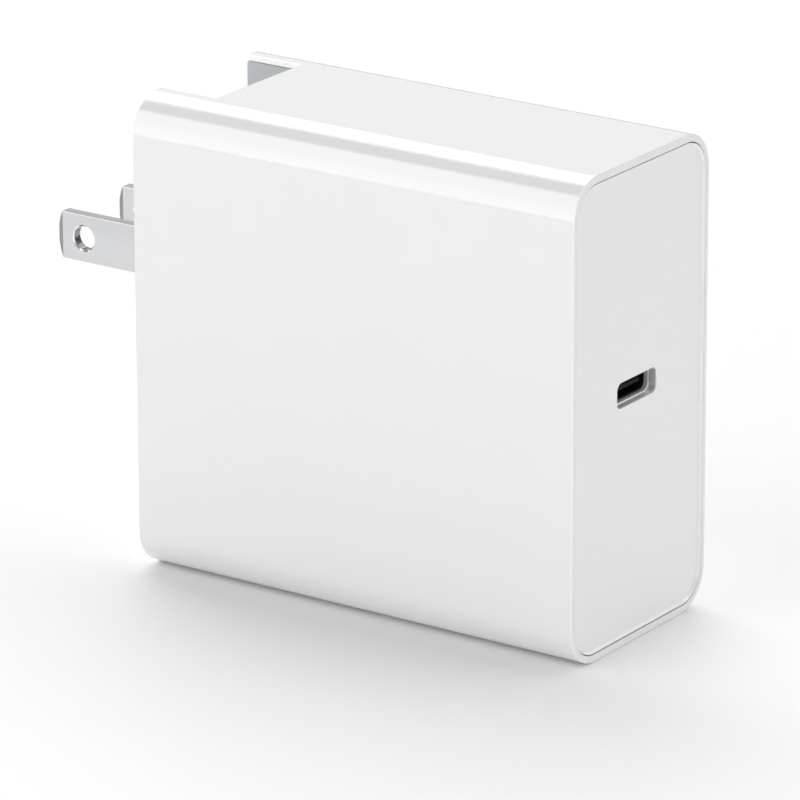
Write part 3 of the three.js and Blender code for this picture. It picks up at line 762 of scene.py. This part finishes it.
def make_carrier():
    half = CARRIER_HALF
    outline = arc((PIVOT.x, PIVOT.z), half, -90, 90, 32)
    outline += [(PIVOT.x - half, PIVOT.z + half), (PIVOT.x - half, PIVOT.z - half)]
    bar = to_object("carrier_bar", prism_y(outline, carrier_low.y, carrier_high.y))
    room = BLADE_THICK / 2 + SEAM
    for side in (-1, 1):
        middle = side * abs(BLADE_Y)
        cut(bar, prism_y(blade_outline(SEAM), middle - room, middle + room))
        ends = sorted((side * LAND_HALF_WIDTH, side * (carrier_high.y + MM)))
        cut(bar, prism_y(circle((PIVOT.x, PIVOT.z), PIN_RADIUS + SEAM, PIN_STEPS), *ends))
    bar.data.materials.append(panel_matte)
    smooth(bar, bevel=CARRIER_FILLET, bevel_angle=50)
    dress(bar, "blade_set", "panel_matte", "blade_carrier")


# ---------- USB-C socket ----------

def throat(x, grow):
    size = (SHELL_WIDTH + 2 * grow, SHELL_TALL + 2 * grow)
    return at_x(x, rounded_rectangle((0, SOCKET_Z), size, SHELL_CORNER + grow))


def opening(x, grow):
    size = (OPENING_WIDTH + 2 * grow, OPENING_TALL + 2 * grow)
    return at_x(x, rounded_rectangle((0, SOCKET_Z), size, OPENING_CORNER + grow))


def make_socket():
    """The metal shell: a wide mouth behind the panel, and the narrower throat behind that."""
    front = shell_high.x
    step = front - MOUTH_DEPTH
    back = shell_low.x
    end = front - MOUTH_SHY
    rings = [
        mouth(end, 0),
        mouth(step + MOUTH_STEP, 0),
        throat(step, 0),
        throat(back, 0),
        throat(back, SHELL_WALL),
        throat(step - SHELL_WALL, SHELL_WALL),
        mouth(step - SHELL_WALL, MOUTH_WALL),
        mouth(end, MOUTH_WALL),
    ]
    shell = to_object("usb_c_liner", loft(rings, cyclic=True))
    shell.data.materials.append(socket_metal)
    smooth(shell)
    dress(shell, "housing", "socket_metal", "usb_c_shell")


def make_insert():
    """The black insert: its front has the standard opening, and a thin tongue stands in it."""
    back = tongue_low.x
    front = shell_high.x - MOUTH_DEPTH - THROAT_DEPTH
    root = back + INSERT_BASE
    nose = tongue_high.x - TONGUE_NOSE

    def tongue(x, shrink):
        size = (TONGUE_WIDTH - 2 * shrink, TONGUE_THICK - 2 * shrink)
        return at_x(x, rounded_rectangle((0, SOCKET_Z), size, TONGUE_CORNER - shrink / 2))

    rings = [
        throat(back, -INSERT_FIT),
        throat(front - INSERT_EDGE, -INSERT_FIT),
        throat(front, -INSERT_FIT - INSERT_EDGE),
        opening(front, INSERT_EDGE),
        opening(front - INSERT_EDGE, 0),
        opening(root, 0),
        tongue(root, 0),
        tongue(nose, 0),
        tongue(tongue_high.x, TONGUE_TAPER),
    ]
    insert = to_object("usb_c_insert", loft(rings))
    insert.data.materials.append(socket_plastic)
    smooth(insert)
    dress(insert, "housing", "socket_plastic", "usb_c_tongue")

    contacts = bmesh.new()
    start = root + CONTACT_MARGIN
    end = nose - CONTACT_MARGIN
    for face in (-1, 1):
        level = SOCKET_Z + face * TONGUE_THICK / 2
        for i in range(CONTACTS):
            y = (i - (CONTACTS - 1) / 2) * CONTACT_PITCH
            low = (start, y - CONTACT_WIDTH / 2, level - CONTACT_PROUD)
            add_mesh(contacts, box_mesh(low, (end, y + CONTACT_WIDTH / 2, level + CONTACT_PROUD)))
    pads = to_object("usb_c_contacts", contacts)
    pads.data.materials.append(contact_gold)
    smooth(pads)
    dress(pads, "housing", "pin_brass")


# ---------- parts that keep their CAD solids ----------

def round_shading(limit=35):
    """A modifier's node group that shades every face smooth and every edge over limit sharp."""
    group = bpy.data.node_groups.new("round_shading", "GeometryNodeTree")
    group.interface.new_socket("Geometry", in_out="INPUT", socket_type="NodeSocketGeometry")
    group.interface.new_socket("Geometry", in_out="OUTPUT", socket_type="NodeSocketGeometry")
    n = Nodes(group)
    angle = n.add("GeometryNodeInputMeshEdgeAngle")
    over = n.add("FunctionNodeCompare", data_type="FLOAT", operation="GREATER_THAN")
    n.link(angle.outputs["Unsigned Angle"], over.inputs["A"])
    over.inputs["B"].default_value = math.radians(limit)
    faces = n.add("GeometryNodeSetShadeSmooth", domain="FACE")
    edges = n.add("GeometryNodeSetShadeSmooth", domain="EDGE")
    edges.inputs["Shade Smooth"].default_value = False
    n.link(n.add("NodeGroupInput").outputs[0], faces.inputs["Geometry"])
    n.link(faces.outputs["Geometry"], edges.inputs["Geometry"])
    n.link(over.outputs["Result"], edges.inputs["Selection"])
    n.link(edges.outputs["Geometry"], n.add("NodeGroupOutput").inputs[0])
    return group


ROUND_SHADING = round_shading()


def soften(node, material, bevel=0.08 * MM):
    """A CAD node with its coplanar triangles merged, its edges rounded and its own finish."""
    piece = frame["nodes"][node]
    weld = piece.modifiers.new("weld", "WELD")
    weld.merge_threshold = 0.002 * MM
    flats = piece.modifiers.new("flats", "DECIMATE")
    flats.decimate_type = "DISSOLVE"
    flats.angle_limit = math.radians(1)
    if bevel:
        edge = piece.modifiers.new("edges", "BEVEL")
        edge.width = bevel
        edge.segments = 2
        edge.limit_method = "ANGLE"
        edge.angle_limit = math.radians(40)
    piece.modifiers.new("shading", "NODES").node_group = ROUND_SHADING
    normals = piece.modifiers.new("normals", "WEIGHTED_NORMAL")
    normals.mode = "FACE_AREA"
    normals.weight = 100
    normals.keep_sharp = True
    piece.data.materials.clear()
    piece.data.materials.append(material)
    return piece


# Painted shade for the grooves between wire and tape turns.
WIRE_GAP_SHADE = (0.10, 0.035, 0.015, 1)
TAPE_GAP_SHADE = (0.55, 0.35, 0.03, 1)
TURN_ANGLE = math.radians(9)
TIN = (0.72, 0.73, 0.75, 1)
BARE_EDGE = (0.42, 0.38, 0.22, 1)
INNER = {
    "brass": surface("brass", (0.78, 0.60, 0.28, 1), 0.3, metallic=1.0, mottle=1 * MM),
    "bronze": surface("bronze", (0.72, 0.45, 0.28, 1), 0.35, metallic=1.0, mottle=1 * MM),
    "steel": surface("steel", (0.6, 0.6, 0.61, 1), 0.3, metallic=1.0, mottle=1 * MM),
    "jacket": surface("jacket", (0.03, 0.03, 0.03, 1), 0.5, mottle=2 * MM),
    "laminate": two_tone(surface("laminate", (0.02, 0.13, 0.06, 1), 0.45, variation=0.08,
                                 mottle=1.5 * MM), BARE_EDGE, "Z", 0.7, 0.9),
    "small_laminate": surface("small_laminate", (0.02, 0.13, 0.06, 1), 0.45, variation=0.08,
                              mottle=1.5 * MM),
    "dark": surface("dark", (0.02, 0.02, 0.022, 1), 0.5, variation=0.1, mottle=1 * MM,
                    grain=0.004 * MM, grain_size=0.15 * MM),
    "yellow": surface("yellow", (0.75, 0.5, 0.06, 1), 0.4, mottle=2 * MM),
    "red": surface("red", (0.4, 0.06, 0.03, 1), 0.45, mottle=2 * MM),
    "green": surface("green", (0.03, 0.09, 0.04, 1), 0.5, mottle=1 * MM),
    "blue": surface("blue", (0.03, 0.15, 0.42, 1), 0.4, mottle=1 * MM),
    "ferrite": surface("ferrite", (0.045, 0.045, 0.05, 1), 0.7, variation=0.15, mottle=0.6 * MM,
                       grain=0.01 * MM, grain_size=0.2 * MM),
    "copper": wound(surface("copper", (0.72, 0.32, 0.14, 1), 0.3, metallic=1.0,
                            mottle=1 * MM), WIRE_GAP_SHADE, TURN_ANGLE, 0.25 * MM, CHOKE_CENTRE),
    "coil": wound(surface("coil", (0.72, 0.32, 0.14, 1), 0.3, metallic=1.0, mottle=1 * MM),
                  WIRE_GAP_SHADE, 0.5 * MM, 0.15 * MM),
    "tape": wound(surface("tape", (0.78, 0.52, 0.05, 1), 0.35, mottle=3 * MM, specular=0.6),
                  TAPE_GAP_SHADE, 2.6 * MM, 0.04 * MM),
    "foil": two_tone(surface("foil", (0.03, 0.04, 0.14, 1), 0.3, mottle=3 * MM),
                     TIN, "Y", -0.9, -0.99),
    "can": surface("can", (0.75, 0.76, 0.78, 1), 0.25, metallic=1.0, mottle=2 * MM),
    "film": surface("film", (0.78, 0.74, 0.6, 1), 0.5, mottle=5 * MM),
    "spreader": surface("spreader", (0.8, 0.81, 0.82, 1), 0.35, metallic=1.0, mottle=4 * MM,
                        grain=0.001 * MM, grain_size=0.2 * MM, stretch=(0.1, 1, 1)),
    "silicone": surface("silicone", (0.3, 0.38, 0.48, 1), 0.8, variation=0.08, mottle=1 * MM,
                        grain=0.02 * MM, grain_size=0.4 * MM),
}

KEPT = {
    "brass": ["pivot_pin_line", "pivot_pin_neutral"],
    "bronze": ["contact_spring_line", "contact_spring_neutral"],
    "steel": ["detent_spring"],
    "jacket": ["lead_wire"],
    "laminate": ["main_board"],
    "small_laminate": ["port_board"],
    "dark": ["fuse", "bridge_rectifier", "gan_switch", "control_chip", "sync_rectifier",
             "optocoupler", "pd_controller", "transformer_bobbin", "auxiliary_capacitor"],
    "yellow": ["x_capacitor"],
    "red": ["snubber_capacitor"],
    "green": ["thermistor"],
    "blue": ["y_capacitor"],
    "ferrite": ["choke_core", "filter_core", "transformer_core_lower", "transformer_core_upper"],
    "copper": ["choke_winding_a", "choke_winding_b"],
    "coil": ["filter_winding"],
    "tape": ["transformer_winding"],
    "foil": ["bulk_capacitor_1", "bulk_capacitor_2", "bulk_capacitor_3"],
    "can": ["output_capacitor_1", "output_capacitor_2"],
    "film": ["insulation_sheet"],
    "spreader": ["front_heat_spreader", "back_heat_spreader"],
    "silicone": ["thermal_pad"],
}


# ---------- stage, light and camera ----------

FLOOR_HALF = 0.6


def make_floor():
    size = FLOOR_HALF
    mesh = bmesh.new()
    level = cad_low.z
    corners = [(-size, -size), (size, -size), (size, size), (-size, size)]
    mesh.faces.new([mesh.verts.new((x, y, level)) for x, y in corners])
    floor = to_object("floor", mesh)
    material = surface("floor_white", (0.92, 0.92, 0.92, 1), 0.45, variation=0.002, mottle=0.2,
                       rough_spread=0.01)
    floor.data.materials.append(material)


# The studio light comes from all round. It is divided into windows by two angles in degrees:
# about the X axis, where 0 is the front horizon, 90 is overhead and 180 is the back horizon, and
# along X, where -90 is the plug end. BANDS gives each band's edges about X and how soft they are,
# and LIGHTS its brightness from the plug end to the socket end.
SPANS = [(-95, -62), (-62, -5), (-5, 40), (40, 66), (66, 95)]
SPAN_SOFTNESS = 10
BANDS = [
    (-12, 26, 6, 6),
    (26, 64, 6, 10),
    (64, 99, 10, 14),
    (99, 145, 14, 5),
    (145, 192, 5, 6),
]
LIGHTS = [
    (0.90, 2.60, 1.51, 1.23, 0.96),
    (1.05, 2.32, 0.36, 1.03, 0.94),
    (1.08, 0.10, 0.42, 0.92, 0.90),
    (1.10, 2.92, 1.74, 1.80, 1.08),
    (0.87, 1.15, 0.93, 1.32, 0.98),
]
GROUND = 1.0


def make_studio():
    world = bpy.data.worlds.new("studio")
    scene.world = world
    world.use_nodes = True
    n = Nodes(world.node_tree)
    place = n.add("ShaderNodeTexCoord")
    axes = n.add("ShaderNodeSeparateXYZ")
    n.link(place.outputs["Generated"], axes.inputs[0])
    x, y, z = axes.outputs
    about = n.math("MULTIPLY", n.math("ARCTAN2", z, n.math("MULTIPLY", y, -1.0)), 180 / math.pi)
    along = n.math("MULTIPLY", n.math("ARCSINE", x), 180 / math.pi)

    def window(angle, low, high, low_edge, high_edge):
        rise = n.ramp(angle, low - low_edge / 2, low + low_edge / 2, 0.0, 1.0, smooth_step=True)
        fall = n.ramp(angle, high - high_edge / 2, high + high_edge / 2, 1.0, 0.0, smooth_step=True)
        return n.math("MULTIPLY", rise, fall)

    spans = [window(along, *span, SPAN_SOFTNESS, SPAN_SOFTNESS) for span in SPANS]
    light = 0.0
    for band, row in zip(BANDS, LIGHTS):
        across = n.math("ADD", 0.0)
        for span, brightness in zip(spans, row):
            across = n.math("ADD", across, n.math("MULTIPLY", span, brightness))
        light = n.math("ADD", n.math("MULTIPLY", across, window(about, *band)), light)
    below = n.ramp(z, -0.21, -0.2, 1.0, 0.0)
    light = n.math("MAXIMUM", light, n.math("MULTIPLY", below, GROUND))
    background = n.add("ShaderNodeBackground")
    n.link(light, background.inputs["Strength"])
    out = n.add("ShaderNodeOutputWorld")
    n.link(background.outputs[0], out.inputs["Surface"])


VIEW_AZIMUTH = 34.611
VIEW_ELEVATION = 18.983
VIEW_ROLL = 0.183
VIEW_DISTANCE = 797.9 * MM
LENS = 290.15
AIM_RIGHT = -2.388 * MM
AIM_UP = -6.004 * MM


def make_camera():
    """A long lens that looks at the middle of the sleeve from the front right, a little above."""
    azimuth, elevation = math.radians(VIEW_AZIMUTH), math.radians(VIEW_ELEVATION)
    back = Vector((
        math.sin(azimuth) * math.cos(elevation),
        -math.cos(azimuth) * math.cos(elevation),
        math.sin(elevation),
    ))
    turn = back.to_track_quat("Z", "Y")
    turn.rotate(Matrix.Rotation(-math.radians(VIEW_ROLL), 3, back))
    right = turn @ Vector((1, 0, 0))
    up = turn @ Vector((0, 1, 0))
    middle = (sleeve_low + sleeve_high) / 2
    data = bpy.data.cameras.new("camera")
    data.lens = LENS
    data.clip_start = 0.01
    data.clip_end = 10
    camera = bpy.data.objects.new("camera", data)
    camera.rotation_mode = "QUATERNION"
    camera.rotation_quaternion = turn
    camera.location = middle + back * VIEW_DISTANCE + right * AIM_RIGHT + up * AIM_UP
    scene.collection.objects.link(camera)
    scene.camera = camera


make_camera()
make_studio()
make_floor()
scene.view_settings.view_transform = "Standard"

make_sleeve()
make_port_panel()
make_plug_panel()
make_carrier()
make_blade("line_blade", -1, "blade_line")
make_blade("neutral_blade", 1, "blade_neutral")
make_socket()
make_insert()
for finish_name, nodes in KEPT.items():
    for node_name in nodes:
        soften(node_name, INNER[finish_name])
